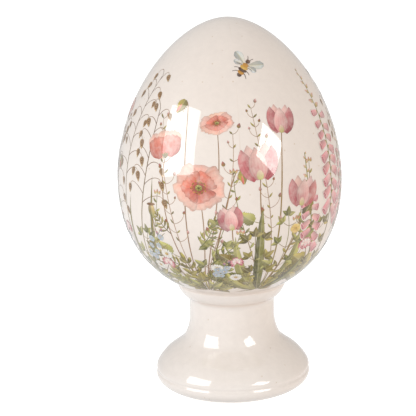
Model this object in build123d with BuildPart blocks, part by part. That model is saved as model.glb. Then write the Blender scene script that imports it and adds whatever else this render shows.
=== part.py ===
# Decorative egg on a pedestal: two hollow ceramic castings, joined with slip and glazed over.
# Millimetres, +Z up. The origin is on the axis, in the plane that the foot ring stands on.

import os
from math import acos, asin, atan2, cos, degrees, hypot, sin, tan

from build123d import *

os.makedirs("parts", exist_ok=True)

# Egg: the outline turns from the upright belly to the level tip and to the level base.
# A reach says how far the outline keeps its direction before it turns.
egg_diameter = 143.0
tip_above_belly = 103.7
base_below_belly = 76.3
upper_flank_reach = 56.4
tip_reach = 30.3
lower_flank_reach = 59.3
base_reach = 22.8
egg_wall = 4.5
pour_hole_diameter = 24.0

# Slip joint: the layer that holds the egg on the stand's bevelled rim
slip_thickness = 0.6

# Stand, from the ground up
stand_wall = 5.2
foot_diameter = 99.8
foot_ring_width = 3.2
foot_round_width = 11.6
foot_round_height = 9.4
band_rise = 4.6
groove_depth = 0.3
ridge_height = 1.2
shoulder_setback = 0.6
shoulder_rise = 3.2
shoulder_radius = 10.0
bell_height = 31.2
cove_radius = 19.0
neck_diameter = 55.2
neck_height = 15.5
collar_height = 9.8
collar_overhang = 7.2
collar_crown = 1.2
rim_edge = 0.8
groove_round = 1.2
crease_round = 2.0
inner_round = 4.0

# Radii and heights that follow from the sizes above
egg_radius = egg_diameter / 2
foot_radius = foot_diameter / 2
ring_radius = foot_radius - foot_round_width
foot_opening_radius = ring_radius - foot_ring_width
shoulder_reach = foot_radius - shoulder_setback
neck_radius = neck_diameter / 2
bore_radius = neck_radius - stand_wall
rim_radius = neck_radius + collar_overhang
band_top = foot_round_height + band_rise
shoulder_level = foot_round_height + shoulder_rise
neck_base = shoulder_level + bell_height
crease = neck_base + neck_height
rim_top = crease + collar_height


def base_rise(radius):
    # Height above the egg's base at which its lower outline is this far from the axis.
    # The outline narrows steadily from belly to base, so halving the span finds the place.
    upper, lower = 0.0, 1.0
    for _ in range(40):
        along = (upper + lower) / 2
        left = 1 - along
        belly_share = left**3 + 3 * along * left**2
        outline = egg_radius * belly_share + base_reach * 3 * along**2 * left
        if outline > radius:
            upper = along
        else:
            lower = along
    drop_share = 3 * lower_flank_reach * along * left**2
    drop_share += base_below_belly * (3 * along**2 * left + along**3)
    return base_below_belly - drop_share


# The egg sits where its outline is as wide as the rim, one layer of slip above it.
egg_base = rim_top + slip_thickness - base_rise(rim_radius)
belly = egg_base + base_below_belly
tip = belly + tip_above_belly


def egg_half(inset=0.0, drop=0.0):
    # Half of the egg's outline, closed along the axis: inset for the inner face,
    # or lowered as a whole for the seat under the slip.
    radius = egg_radius - inset
    scale = radius / egg_radius
    middle = belly - drop
    top = tip - inset - drop
    bottom = egg_base + inset - drop
    with BuildSketch() as half:
        with BuildLine():
            Bezier(
                (0, top),
                (tip_reach * scale, top),
                (radius, middle + upper_flank_reach * scale),
                (radius, middle),
            )
            Bezier(
                (radius, middle),
                (radius, middle - lower_flank_reach * scale),
                (base_reach * scale, bottom),
                (0, bottom),
            )
            Line((0, bottom), (0, top))
        make_face()
    return half.sketch


def bell_curves():
    # Shoulder radius, cove radius and the angle from upright of the straight flank that
    # touches both. Radii too large for a low or wide bell are drawn in until they fit.
    spread = shoulder_reach - neck_radius
    room = (bell_height**2 + spread**2) / (2 * spread)
    share = min(1.0, 0.95 * room / (shoulder_radius + cove_radius))
    both_radii = share * (shoulder_radius + cove_radius)
    reach = hypot(bell_height, both_radii - spread)
    slope = atan2(bell_height, both_radii - spread) - acos(both_radii / reach)
    return share * shoulder_radius, share * cove_radius, slope


# Egg: an even shell, emptied through the pour hole that the stand covers
with BuildPart() as egg_shell:
    with BuildSketch(Plane.XZ):
        add(egg_half())
        add(egg_half(inset=egg_wall), mode=Mode.SUBTRACT)
        with Locations((0, egg_base)):
            Rectangle(pour_hole_diameter, base_below_belly, mode=Mode.SUBTRACT)
    revolve(axis=Axis.Z)
egg_shell.part.label = "egg_shell"
export_step(egg_shell.part, "parts/egg_shell.step")


# Slip joint: the ring between the egg and the rim's bevel, flush with the rim
with BuildPart() as slip_joint:
    with BuildSketch(Plane.XZ):
        add(egg_half(drop=slip_thickness))
        add(egg_half(), mode=Mode.SUBTRACT)
        with Locations(((bore_radius + rim_radius) / 2, egg_base)):
            Rectangle(rim_radius - bore_radius, base_below_belly, mode=Mode.INTERSECT)
    revolve(axis=Axis.Z)
slip_joint.part.label = "slip_joint"
export_step(slip_joint.part, "parts/slip_joint.step")


# Stand: foot band, groove, ridge, bell, neck and collar in one casting
shoulder_bend, cove_bend, slope = bell_curves()
slope_degrees = degrees(slope)
cove_centre = (neck_radius + cove_bend, neck_base)
shoulder_centre = (shoulder_reach - shoulder_bend, shoulder_level)


def shoulder_point(turn, depth=0.0):
    # Point of the shoulder's curve, turned up from level, or below its surface by a depth
    reach = shoulder_bend - depth
    return (shoulder_centre[0] + reach * cos(turn), shoulder_level + reach * sin(turn))


# The groove cuts the foot of the shoulder; the ridge above it rolls out into the shoulder's curve.
groove_turn = asin((band_top - shoulder_level) / shoulder_bend)
ridge_turn = groove_turn + ridge_height / shoulder_bend
groove = shoulder_point(groove_turn, groove_depth)
ridge = shoulder_point(ridge_turn)
uncut_top = rim_top + slip_thickness


def hollow_half():
    # Half of the stand's hollow: one even wall in from the neck, the cove and the flank, but no
    # wider than the opening in the foot, so the wall is thickest and heaviest low down.
    # The cove ends short of that opening, and the straight piece left limits the rounding.
    inner_bend = cove_bend + stand_wall
    cove_limit = foot_opening_radius - stand_wall / 4
    lean = min(slope, acos((cove_centre[0] - cove_limit) / inner_bend))
    with BuildSketch() as half:
        with BuildLine():
            Polyline((0, 0), (0, uncut_top), (bore_radius, uncut_top), (bore_radius, neck_base))
            inner_cove = CenterArc(cove_centre, inner_bend, 180, degrees(lean))
            flank_start = inner_cove @ 1
            flank_end = (flank_start.X + flank_start.Y * tan(lean), 0)
            Polyline(flank_start, flank_end, (0, 0))
        make_face()
        Rectangle(2 * foot_opening_radius, 2 * uncut_top, mode=Mode.INTERSECT)
        at_wall = half.vertices().filter_by(lambda v: abs(v.X - foot_opening_radius) < 0.001)
        room = (foot_opening_radius - flank_start.X) / (2 * sin(lean / 2) ** 2)
        fillet(at_wall.sort_by(Axis.Y)[-1], min(inner_round, 0.9 * room))
    return half.sketch


with BuildPart() as stand:
    with BuildSketch(Plane.XZ) as section:
        with BuildLine():
            # Outside, from the ground up
            Line((0, 0), (ring_radius, 0))
            EllipticalCenterArc(
                (ring_radius, foot_round_height),
                foot_round_width,
                foot_round_height,
                start_angle=-90,
                arc_size=90,
            )
            TangentArc((foot_radius, foot_round_height), groove, tangent=(0, 1))
            TangentArc(ridge, groove, tangent=(sin(ridge_turn), -cos(ridge_turn)))
            shoulder = CenterArc(
                shoulder_centre, shoulder_bend, degrees(ridge_turn), degrees(slope - ridge_turn)
            )
            cove = CenterArc(cove_centre, cove_bend, 180 + slope_degrees, -slope_degrees)
            Line(shoulder @ 1, cove @ 0)
            Line((neck_radius, neck_base), (neck_radius, crease))
            SagittaArc((neck_radius, crease), (rim_radius, rim_top - rim_edge), -collar_crown)
            # Rim, drawn past the height where the bevel cuts it off, and back down the axis
            Polyline((rim_radius, rim_top - rim_edge), (rim_radius, uncut_top), (0, uncut_top), (0, 0))
        make_face()
        # Glaze softens the two inward corners of the outside.
        fillet(section.vertices().sort_by_distance((*groove, 0))[0], groove_round)
        fillet(section.vertices().sort_by_distance((neck_radius, crease, 0))[0], crease_round)
        add(hollow_half(), mode=Mode.SUBTRACT)
        # The rim is bevelled to the egg's own curve, lowered by the slip.
        add(egg_half(drop=slip_thickness), mode=Mode.SUBTRACT)
    revolve(axis=Axis.Z)
stand.part.label = "stand"
export_step(stand.part, "parts/stand.step")

print(f"height {tip:.2f}, egg base {egg_base:.2f}, rim {rim_top:.2f}, flank {slope_degrees:.1f} degrees")
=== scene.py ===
import math

import bpy
import numpy as np
from mathutils import Matrix, Vector


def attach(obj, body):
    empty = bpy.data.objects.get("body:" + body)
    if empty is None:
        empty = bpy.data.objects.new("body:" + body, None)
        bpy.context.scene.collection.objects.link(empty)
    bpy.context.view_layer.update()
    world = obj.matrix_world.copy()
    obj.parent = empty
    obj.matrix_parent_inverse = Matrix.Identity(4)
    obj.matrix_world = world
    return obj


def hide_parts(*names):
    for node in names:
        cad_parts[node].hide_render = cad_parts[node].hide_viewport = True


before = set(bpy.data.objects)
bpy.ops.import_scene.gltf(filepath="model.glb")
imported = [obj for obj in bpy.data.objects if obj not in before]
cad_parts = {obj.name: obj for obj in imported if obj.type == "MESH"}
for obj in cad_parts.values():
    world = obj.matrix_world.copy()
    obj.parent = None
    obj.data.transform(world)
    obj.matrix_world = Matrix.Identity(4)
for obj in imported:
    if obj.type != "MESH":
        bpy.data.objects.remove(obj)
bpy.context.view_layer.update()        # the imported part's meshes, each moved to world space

print("frame loaded:", ", ".join(sorted(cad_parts)))

mm = 0.001
bakeMargin = 0.01  # room at the edges of a turned piece's own UV map


# Small helpers for curves, meshes and node trees

def toLinear(rgb):
    # sRGB numbers of 0 to 255 turned into the linear shares that shaders use
    share = np.asarray(rgb, float) / 255
    return np.where(share <= 0.04045, share / 12.92, ((share + 0.055) / 1.055) ** 2.4)


def colour(rgb):
    return (*toLinear(rgb).tolist(), 1.0)


def cubicAt(corners, t):
    # cubic: (1-t)^3 a + 3t(1-t)^2 b + 3t^2(1-t) c + t^3 d
    a, b, c, d = np.asarray(corners, float)
    return (1 - t) ** 3 * a + 3 * t * (1 - t) ** 2 * b + 3 * t * t * (1 - t) * c + t**3 * d


def cubicRow(corners, count):
    return cubicAt(corners, np.linspace(0, 1, count)[:, None])


def dipRow(first, towards, last, count):
    # parabola between two points, drawn towards a third: (1-t)^2 a + 2t(1-t) b + t^2 c
    t = np.linspace(0, 1, count)[:, None]
    return (1 - t) ** 2 * first + 2 * t * (1 - t) * towards + t * t * last


def arcRow(centre, radii, start, end, count):
    # centre plus radii times cosine and sine, from start to end in degrees
    turn = np.radians(np.linspace(start, end, count))
    return np.asarray(centre) + np.c_[np.cos(turn), np.sin(turn)] * np.asarray(radii)


def roundCorner(before, corner, after, reach, count):
    # parabola from a point short of the corner to a point past it
    back = corner + (before - corner) / np.linalg.norm(before - corner) * reach
    on = corner + (after - corner) / np.linalg.norm(after - corner) * reach
    return dipRow(back, corner, on, count)


def joinRows(*rows):
    # one run of points, with the points that two rows share kept once
    run = np.concatenate(rows)
    apart = np.linalg.norm(np.diff(run, axis=0), axis=1) > 1e-7
    return run[np.r_[True, apart]]


def fillMesh(name, points, faces, cornerUv=None):
    # faces is a list of index arrays, one for triangles and one for quads; cornerUv goes with their corners
    mesh = bpy.data.meshes.new(name)
    sizes = np.concatenate([np.full(len(part), part.shape[1]) for part in faces])
    corners = np.concatenate([part.ravel() for part in faces])
    mesh.vertices.add(len(points))
    mesh.vertices.foreach_set("co", np.asarray(points, np.float32).ravel())
    mesh.loops.add(len(corners))
    mesh.loops.foreach_set("vertex_index", corners.astype(np.int32))
    mesh.polygons.add(len(sizes))
    mesh.polygons.foreach_set("loop_start", np.r_[0, np.cumsum(sizes)[:-1]].astype(np.int32))
    mesh.polygons.foreach_set("use_smooth", np.full(len(sizes), True))
    if cornerUv is not None:
        bakeMap = mesh.uv_layers.new(name="OFBake")
        bakeMap.data.foreach_set("uv", np.asarray(cornerUv, np.float32).ravel())
    mesh.update(calc_edges=True)
    mesh.validate()
    return mesh


def addPiece(name, mesh, material, body="root"):
    piece = bpy.data.objects.new(name, mesh)
    bpy.context.scene.collection.objects.link(piece)
    mesh.materials.append(material)
    if body:
        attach(piece, body)
    return piece


def ringPoints(rings, around):
    # each (radius, height) carried round the Z axis: x = r cos a, y = r sin a, z = h
    turn = 2 * np.pi * np.arange(around) / around
    heights = np.repeat(rings[:, 1:], around, axis=1)
    points = [rings[:, :1] * np.cos(turn), rings[:, :1] * np.sin(turn), heights]
    return np.stack(points, axis=-1).reshape(-1, 3)


def ringQuads(row, nextRow, around):
    # four-sided faces between one ring of points and the next
    col = np.arange(around)[None, :]
    nextCol = (col + 1) % around
    row, nextRow = row * around, nextRow * around
    return np.stack([row + col, row + nextCol, nextRow + nextCol, nextRow + col], axis=-1).reshape(-1, 4)


def turnedMesh(name, profile, around, closed):
    # a profile of radius and height turned round the axis; its UV map has the turn across and the profile up
    # a closed profile runs with the clay on its left; an open one starts and ends on the axis
    loop = np.vstack([profile, profile[:1]]) if closed else profile
    reach = np.r_[0, np.cumsum(np.linalg.norm(np.diff(loop, axis=0), axis=1))]
    share = bakeMargin + (1 - 2 * bakeMargin) * reach / reach[-1]
    rings = profile if closed else profile[1:-1]
    points = ringPoints(rings, around)
    count = len(rings)
    row = np.arange(count if closed else count - 1)[:, None]
    quads = ringQuads(row, (row + 1) % count, around)
    first = 0 if closed else 1
    col = np.arange(around)
    left, right, middle = col / around, (col + 1) / around, (col + 0.5) / around
    low, high, west, east = np.broadcast_arrays(share[row + first], share[row + first + 1], left, right)
    quadUv = np.stack([west, low, east, low, east, high, west, high], axis=-1).reshape(-1, 2)
    if closed:
        return fillMesh(name, points, [quads], quadUv)
    ends = np.c_[np.zeros(2), np.zeros(2), profile[[0, -1], 1]]
    nextCol = (col + 1) % around
    last = (count - 1) * around
    startTris = np.c_[np.full(around, len(points)), nextCol, col]
    endTris = np.c_[np.full(around, len(points) + 1), last + col, last + nextCol]
    one = np.ones(around)
    lowest, highest = bakeMargin * one, (1 - bakeMargin) * one
    startUv = np.stack([middle, lowest, right, share[1] * one, left, share[1] * one], axis=-1)
    endUv = np.stack([middle, highest, left, share[-2] * one, right, share[-2] * one], axis=-1)
    cornerUv = np.concatenate([startUv.reshape(-1, 2), endUv.reshape(-1, 2), quadUv])
    return fillMesh(name, np.vstack([points, ends]), [np.vstack([startTris, endTris]), quads], cornerUv)


bench = {}  # the node tree that is being built


def startTree(owner):
    owner.use_nodes = True
    bench["tree"] = owner.node_tree
    bench["tree"].nodes.clear()


def connect(output, socket):
    bench["tree"].links.new(output, socket)


def addNode(kind, inputs=None, **settings):
    # a node with its settings; an input that is a socket gets a link
    made = bench["tree"].nodes.new("ShaderNode" + kind)
    for key, value in settings.items():
        setattr(made, key, value)
    for key, value in (inputs or {}).items():
        if isinstance(value, bpy.types.NodeSocket):
            connect(value, made.inputs[key])
        else:
            made.inputs[key].default_value = value
    return made


def newMaterial(name):
    made = bpy.data.materials.new(name)
    startTree(made)
    shader = addNode("BsdfPrincipled")
    addNode("OutputMaterial", {"Surface": shader.outputs["BSDF"]})
    return made, shader


def maths(operation, *values):
    return addNode("Math", dict(enumerate(values)), operation=operation).outputs[0]


def times(first, second):
    return maths("MULTIPLY", first, second)


def blend(share, first, second, way="MIX"):
    inputs = {0: share, 6: first, 7: second}
    return addNode("Mix", inputs, data_type="RGBA", blend_type=way, clamp_factor=True).outputs[2]


def noise(where, scale, detail=2.0, roughness=0.5):
    inputs = {"Vector": where, "Scale": scale, "Detail": detail, "Roughness": roughness}
    return addNode("TexNoise", inputs).outputs["Fac"]


def spread(value, low, high, newLow=0.0, newHigh=1.0):
    # low to high stretched to the new range, and held at its ends
    inputs = {"Value": value, "From Min": low, "From Max": high, "To Min": newLow, "To Max": newHigh}
    return addNode("MapRange", inputs, clamp=True).outputs["Result"]


# Glazes: cream ground with slow tone drift, fine mottling, rare specks and a faint ripple under a clear coat

glazeCoat = {
    "Roughness": 0.42, "Specular IOR Level": 0.16,
    "Coat IOR": 1.62, "Coat Weight": 1.0, "Coat Roughness": 0.015,
}
glazeLook = {  # scales are noise scales; lengths are in metres
    "rippleScale": 42.0, "ripple": 0.035, "rippleDepth": 0.001,
    "driftScale": 13.0, "mottleScale": 240.0, "mottle": (0.965, 1.02),
    "speckScale": 330.0, "speckSize": 0.10, "speckEdge": 2.2,
    "speckRarity": (0.90, 0.95), "speckShare": 0.42,
    # pool: share of thicker, warmer glaze in inward corners, which also paints the shade of the crease, seam
    # and egg's base
    "pool": 0.5, "poolShadeTone": (233, 208, 192), "poolShadeFall": 1.6,
    "lineWidth": (0.0001, 0.0005), "lineBreakScale": 26.0, "lineShare": 0.34,
    "lineFades": (0.15, 0.2), "lineLeft": 0.25,
    "wanderScale": 120.0, "wander": 0.0003, "bareEdge": 0.0004,
    "gritScale": 1400.0, "grit": (0.86, 1.06), "bareRoughness": 0.85,
}


def glazeFinish(shader, where):
    # the clear coat and its ripple, shared by the bare ground and the print that lies in it
    for socket, value in glazeCoat.items():
        shader.inputs[socket].default_value = value
    ripple = noise(where, glazeLook["rippleScale"], 1.5)
    inputs = {"Strength": glazeLook["ripple"], "Distance": glazeLook["rippleDepth"], "Height": ripple}
    bump = addNode("Bump", inputs).outputs["Normal"]
    connect(bump, shader.inputs["Normal"])
    connect(bump, shader.inputs["Coat Normal"])


def glazeMaterial(name, light, deep, speck, bareBelow=None, bare=None, poolsAndShade=(), mouldLine=None):
    look = glazeLook
    made, shader = newMaterial(name)
    where = addNode("TexCoord").outputs["Object"]
    drift = spread(noise(where, look["driftScale"], 3.0), 0.3, 0.72)
    ground = blend(drift, colour(deep), colour(light))
    mottle = spread(noise(where, look["mottleScale"], 4.0, 0.6), 0.25, 0.75, *look["mottle"])
    ground = blend(1.0, ground, mottle, "MULTIPLY")
    cells = addNode("TexVoronoi", {"Vector": where, "Scale": look["speckScale"]})
    edge = look["speckSize"] * look["speckEdge"]
    near = spread(cells.outputs["Distance"], look["speckSize"], edge, 1.0, 0.0)
    draw = addNode("SeparateColor", {"Color": cells.outputs["Color"]}).outputs[0]
    chosen = spread(draw, *look["speckRarity"])
    specks = times(times(near, chosen), look["speckShare"])
    ground = blend(specks, ground, colour(speck))
    height = addNode("SeparateXYZ", {"Vector": where}).outputs["Z"]
    for level, wide in poolsAndShade:  # thicker, warmer glaze run into an inward corner, made darker there as painted shade
        away = maths("ABSOLUTE", maths("SUBTRACT", height, level))
        near = spread(away, 0.0, wide, 1.0, 0.0)
        share = times(maths("POWER", near, look["poolShadeFall"]), look["pool"])
        ground = blend(share, ground, colour(look["poolShadeTone"]))
    if mouldLine:  # thin ochre trace where the mould's halves met, broken along its length and fainter above
        inputs = {0: where, 1: mouldLine}
        across = addNode("VectorMath", inputs, operation="DOT_PRODUCT").outputs["Value"]
        line = spread(maths("ABSOLUTE", across), *look["lineWidth"], 1.0, 0.0)
        broken = spread(noise(where, look["lineBreakScale"], 2.0), 0.48, 0.66, 0.0, look["lineShare"])
        line = times(line, spread(height, *look["lineFades"], 1.0, look["lineLeft"]))
        ground = blend(times(line, broken), ground, colour(speck))
    if bare:  # unglazed clay below a wandering edge
        wander = noise(where, look["wanderScale"], 2.0)
        wander = spread(wander, 0.3, 0.7, -look["wander"], look["wander"])
        edge = maths("ADD", height, wander)
        unglazed = spread(edge, bareBelow, bareBelow + look["bareEdge"], 1.0, 0.0)
        grit = spread(noise(where, look["gritScale"], 3.0), 0.3, 0.7, *look["grit"])
        body = blend(1.0, colour(bare), grit, "MULTIPLY")
        ground = blend(unglazed, ground, body)
        rough = spread(unglazed, 0.0, 1.0, glazeCoat["Roughness"], look["bareRoughness"])
        glossy = spread(unglazed, 0.0, 1.0, glazeCoat["Coat Weight"], 0.0)
    connect(ground, shader.inputs["Base Color"])
    glazeFinish(shader, where)
    if bare:
        connect(rough, shader.inputs["Roughness"])
        connect(glossy, shader.inputs["Coat Weight"])
    return made


# light, deep and speck tones; then heights and reaches of the glaze pools with painted shade, and which way
# the mould line faces
eggGlaze = glazeMaterial("egg_glaze", (243, 234, 226), (238, 227, 218), (196, 164, 120),
                         poolsAndShade=((0.0697, 0.004),), mouldLine=(0.9952, 0.0976, 0.0))
standGlaze = glazeMaterial("stand_glaze", (244, 237, 231), (240, 231, 224), (206, 184, 152),
                           bareBelow=0.0016, bare=(228, 214, 198), poolsAndShade=((0.0606, 0.0026), (0.0694, 0.0016)))
seamGlaze = glazeMaterial("seam_glaze", (240, 229, 220), (234, 220, 209), (196, 168, 132))
print("glazes mixed")


# Egg: an even shell turned from two cubics, open at the pour hole that the stand covers

eggShape = {
    "radius": 71.5, "belly": 136.34, "tip": 240.04, "base": 60.04,
    "upperReach": 56.4, "tipReach": 30.3, "lowerReach": 59.3, "baseReach": 22.8,
    "wall": 4.5, "pourHole": 12.0, "filmRoom": 0.26,
    "around": 320, "rows": 110, "innerRows": 34, "holeRows": 5, "sharpAngle": 40,
}


def eggRow(inset, count):
    # outline from the base up to the tip, lower cubic then upper cubic, drawn in by inset
    shape = eggShape
    radius = shape["radius"] - inset
    scale = radius / shape["radius"]
    middle, top, bottom = shape["belly"], shape["tip"] - inset, shape["base"] + inset
    lower = cubicRow([(0, bottom), (shape["baseReach"] * scale, bottom),
                      (radius, middle - shape["lowerReach"] * scale), (radius, middle)], count)
    upper = cubicRow([(radius, middle), (radius, middle + shape["upperReach"] * scale),
                      (shape["tipReach"] * scale, top), (0, top)], count)
    return joinRows(lower, upper)


def fromRadius(row, radius):
    # the part of a base-to-tip outline that starts at a given radius
    rising = int(np.argmax(row[:, 0]))
    height = np.interp(radius, row[:rising, 0], row[:rising, 1])
    return np.vstack([(radius, height), row[(row[:, 0] > radius) | (np.arange(len(row)) > rising)]])


eggOuter = fromRadius(eggRow(eggShape["filmRoom"], eggShape["rows"]), eggShape["pourHole"])
eggInner = fromRadius(eggRow(eggShape["wall"], eggShape["innerRows"]), eggShape["pourHole"])
holeEdge = np.linspace(eggInner[0], eggOuter[0], eggShape["holeRows"])[1:-1]
eggProfile = joinRows(eggInner[::-1], holeEdge, eggOuter) * mm
eggMesh = turnedMesh("egg", eggProfile, eggShape["around"], closed=False)
eggMesh.set_sharp_from_angle(angle=math.radians(eggShape["sharpAngle"]))
egg = addPiece("egg", eggMesh, eggGlaze)
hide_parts("egg_shell")
print("egg turned:", len(eggMesh.polygons), "faces")


# Stand: rounded foot with a groove, bell, neck and collar, hollow from the foot up

standShape = {
    "opening": 35.1, "ring": 36.4, "foot": 49.85, "footHeight": 8.6, "ridgeTop": 15.0,
    "crease": 59.3, "creaseRound": 3.2, "crown": 1.2,
    "rim": 34.8, "rimTop": 69.1, "rimEdge": 0.8, "rimRound": 0.35, "slip": 0.6,
    "bore": 22.4, "boreBase": 43.8, "innerCentre": 46.6, "innerBend": 24.2, "innerSlope": 51.67,
    "innerRound": 4.0, "heelRound": 0.4, "soften": 0.7, "step": 0.05,
    "around": 288, "footRows": 34, "grooveRows": 46, "bellRows": 72, "collarRows": 24, "seatRows": 90,
    "coveRows": 18, "sharpAngle": 50,
    "slopes": (  # height, and the degrees by which the outside faces up there: groove, ridge, bell, neck
        (8.6, 0.0), (9.2, 16.0), (9.8, 26.5), (10.3, 24.0), (10.8, -6.0), (11.3, -24.0), (11.9, -15.0),
        (12.5, 2.0), (13.4, 13.0), (14.4, 21.5), (15.6, 30.5), (17.0, 35.5), (18.0, 37.3), (20.0, 40.0),
        (22.0, 47.0), (24.0, 53.8), (26.0, 53.8), (28.0, 50.4), (30.0, 47.6), (32.0, 38.2), (33.0, 30.0),
        (34.0, 24.5), (36.5, 21.0), (39.5, 14.2), (43.0, 8.2), (47.0, 0.8), (51.0, -0.4), (55.0, -1.1),
        (59.3, -1.9)),
}


def bellRow(rows):
    # slopes joined by straight runs and softened; radius = the foot's less the running sum of their tangents
    s, step = standShape, standShape["step"]
    level = np.arange(s["footHeight"], s["crease"], step)
    window = np.hanning(int(s["soften"] / step) + 2)
    edge = len(window) // 2
    slope = np.pad(np.interp(level, *np.transpose(s["slopes"])), edge, mode="edge")
    slope = np.convolve(slope, window / window.sum(), "same")[edge:-edge]
    tangent = np.tan(np.radians(slope))
    radius = s["foot"] - step * np.r_[0, np.cumsum((tangent[1:] + tangent[:-1]) / 2)]
    return np.c_[np.interp(rows, level, radius), rows]


def standRow():
    # outside from the foot ring up to the rim, then over the seat and down the hollow
    # rounded corners are parabolas, and the runs between them stop a little short of them
    s = standShape
    neckTop = s["crease"] - s["creaseRound"] - 0.2
    grooveLevels = np.linspace(s["footHeight"], s["ridgeTop"], s["grooveRows"])
    bell = bellRow(np.r_[grooveLevels, np.linspace(s["ridgeTop"], neckTop, s["bellRows"])[1:]])
    crease = np.array([bell[-1][0], s["crease"]])
    rim = np.array([s["rim"], s["rimTop"]])
    rimLow = rim - (0, s["rimEdge"])
    chord = rimLow - crease
    outward = np.array([chord[1], -chord[0]]) / np.linalg.norm(chord)
    t = np.linspace(0, 1, s["collarRows"])[:, None]
    collar = crease + chord * t + outward * s["crown"] * 4 * t * (1 - t)  # shallow crown, as a parabola
    creaseDip = roundCorner(crease - (0, 5), crease, collar[7], s["creaseRound"], 15)
    keep = np.linalg.norm(collar - crease, axis=1) > s["creaseRound"] + 0.2
    # the seat is the egg's lower curve, lowered by the slip, from the rim in to the bore
    seat = fromRadius(eggRow(0.0, s["seatRows"]), s["bore"]) - (0, s["slip"])
    seat = seat[(seat[:, 0] < s["rim"]) & (seat[:, 1] < s["rimTop"])][::-1]
    seat = np.vstack([roundCorner(rimLow, rim, seat[0], s["rimRound"], 5), seat])
    coveCentre = (s["innerCentre"], s["boreBase"])
    innerCove = arcRow(coveCentre, s["innerBend"], 180, 180 + s["innerSlope"], s["coveRows"])
    drop = (s["opening"] - innerCove[-1][0]) / math.tan(math.radians(s["innerSlope"]))
    elbow = np.array([s["opening"], innerCove[-1][1] - drop])
    bend = s["innerRound"] * math.tan(math.radians(s["innerSlope"] / 2))
    heel = np.array([s["opening"], 0.0])
    ringEdge = np.array([s["ring"], 0.0])
    footRound = (s["foot"] - s["ring"], s["footHeight"])
    return joinRows(
        roundCorner(elbow, heel, ringEdge, s["heelRound"], 5),
        np.linspace(heel + (0.8, 0), ringEdge - (0.6, 0), 3),
        arcRow((s["ring"], s["footHeight"]), footRound, -90, 0, s["footRows"]),
        bell, creaseDip, collar[keep],
        np.linspace(rimLow, rim - (0, s["rimRound"] + 0.01), 3), seat,
        np.linspace((s["bore"], seat[-1][1] - 0.4), (s["bore"], s["boreBase"]), 8), innerCove,
        roundCorner(innerCove[-1], elbow, heel, bend, 9),
        np.linspace(elbow - (0, bend + 1.0), heel + (0, 0.8), 8))


standMesh = turnedMesh("pedestal", standRow() * mm, standShape["around"], closed=True)
standMesh.set_sharp_from_angle(angle=math.radians(standShape["sharpAngle"]))
pedestal = addPiece("pedestal", standMesh, standGlaze)
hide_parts("stand")
print("pedestal turned:", len(standMesh.polygons), "faces")


# Seam: the slip between egg and rim, with glaze that has run into the joint

seamShape = {
    "run": 2.0, "hollow": 0.75, "under": 0.03, "short": 0.2,
    "around": 256, "eggRows": 120, "upperRows": 30, "lowerRows": 26, "runRows": 12, "sharpAngle": 60,
}


def seamRow():
    # over the rim's bevel, along a hollow run of glaze and back under the egg's skin
    s, k = standShape, seamShape
    count, inner = k["eggRows"], s["bore"] + k["short"]
    below = eggRow(eggShape["filmRoom"], count)[:count]
    seat = eggRow(0.0, count)[:count] - (0, s["slip"] - k["under"])
    reach = np.linspace(inner, s["rim"] + k["run"], k["upperRows"])
    upper = np.c_[reach, np.interp(reach, below[:, 0], below[:, 1]) + k["under"]]  # just inside the skin
    reach = np.linspace(inner, s["rim"] - 0.3, k["lowerRows"])
    lower = np.c_[reach, np.interp(reach, seat[:, 0], seat[:, 1])]
    rimPoint = np.array([s["rim"] - 0.02, s["rimTop"] - 0.25])
    inward = np.array([s["rim"] + 0.12, s["rimTop"] + k["hollow"]])
    return joinRows(lower, dipRow(rimPoint, inward, upper[-1], k["runRows"]), upper[::-1])


seamMesh = turnedMesh("seam", seamRow() * mm, seamShape["around"], closed=True)
seamMesh.set_sharp_from_angle(angle=math.radians(seamShape["sharpAngle"]))
seam = addPiece("seam", seamMesh, seamGlaze)
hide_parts("slip_joint")
print("seam filled:", len(seamMesh.polygons), "faces")


# Print: flower sprays in the glaze. Every leaf, petal and stem is a thin painted sheet on the egg's skin.
# A spray is drawn flat in millimetres, x across and y up the egg from the seam, and then laid on the egg.

sheetGrids = {  # points along and across
    "small": (6, 5), "broad": (13, 9), "long": (29, 5), "stem": (65, 3), "twig": (13, 3),
}
filmLook = {
    "lowest": 0.028, "step": 0.0031,  # mm over the skin, and more per rank
    "ground": 8.5, "top": 170.0, "fanRadius": 60.0,  # mm: where the sprays stand and end, width of their fan
    "longLeaf": 13, "leastWidth": 0.02,  # mm of the longest small leaf, least share of a sheet's width
    "toneDrift": 0.035, "hueDrift": 0.018,
}

outlines = {  # half widths at seven even places from root to end, as shares of the widest
    "lance": (0.10, 0.52, 0.88, 1.00, 0.86, 0.52, 0.03),
    "strap": (0.45, 0.80, 1.00, 0.98, 0.86, 0.56, 0.03),
    "round": (0.22, 0.78, 0.97, 1.00, 0.97, 0.78, 0.22),
    "fan": (0.08, 0.36, 0.64, 0.87, 1.00, 0.96, 0.58),
    "spoon": (0.14, 0.32, 0.56, 0.84, 1.00, 0.90, 0.34),
    "cup": (0.34, 0.74, 0.95, 1.00, 0.96, 0.86, 0.52),
    "tulip": (0.45, 0.82, 1.00, 0.98, 0.84, 0.55, 0.06),
    "bell": (0.30, 0.62, 0.74, 0.80, 0.87, 0.98, 0.90),
    "bud": (0.40, 0.86, 1.00, 0.92, 0.70, 0.42, 0.06),
    "heart": (0.50, 0.94, 1.00, 0.86, 0.64, 0.36, 0.04),
    "stalk": (1.00, 1.00, 0.97, 0.92, 0.85, 0.76, 0.62),
}

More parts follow.
